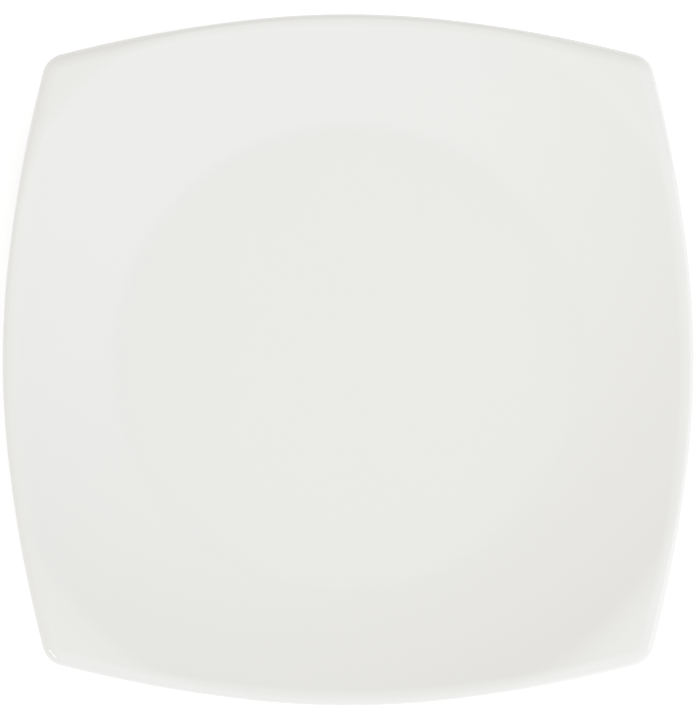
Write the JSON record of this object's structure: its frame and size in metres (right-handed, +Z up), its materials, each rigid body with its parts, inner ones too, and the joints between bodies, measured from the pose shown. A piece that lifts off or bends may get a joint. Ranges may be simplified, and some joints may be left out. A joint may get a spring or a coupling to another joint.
{
  "type": "square dinner plate",
  "caption": "Square coupe dinner plate with bowed sides and rounded corners, a round flat well, an upswept rim and a bare foot ring, in white glazed porcelain.",
  "frame": {"origin": "centre of the foot ring, on the plane that the plate stands on", "axes": "+Z up, out of the face; +X and +Y through the middles of two neighbouring sides"},
  "size_m": [0.27, 0.27, 0.0251],
  "materials": {
    "bare_porcelain": "fired clay, matt and fine-grained, bare at the tip of the foot",
    "white_glaze": "clear gloss glaze over white porcelain"
  },
  "bodies": {
    "root": {"porcelain_body": "bare_porcelain", "face_and_rim_glaze": "white_glaze", "foot_recess_glaze": "white_glaze"}
  },
  "joints": []
}
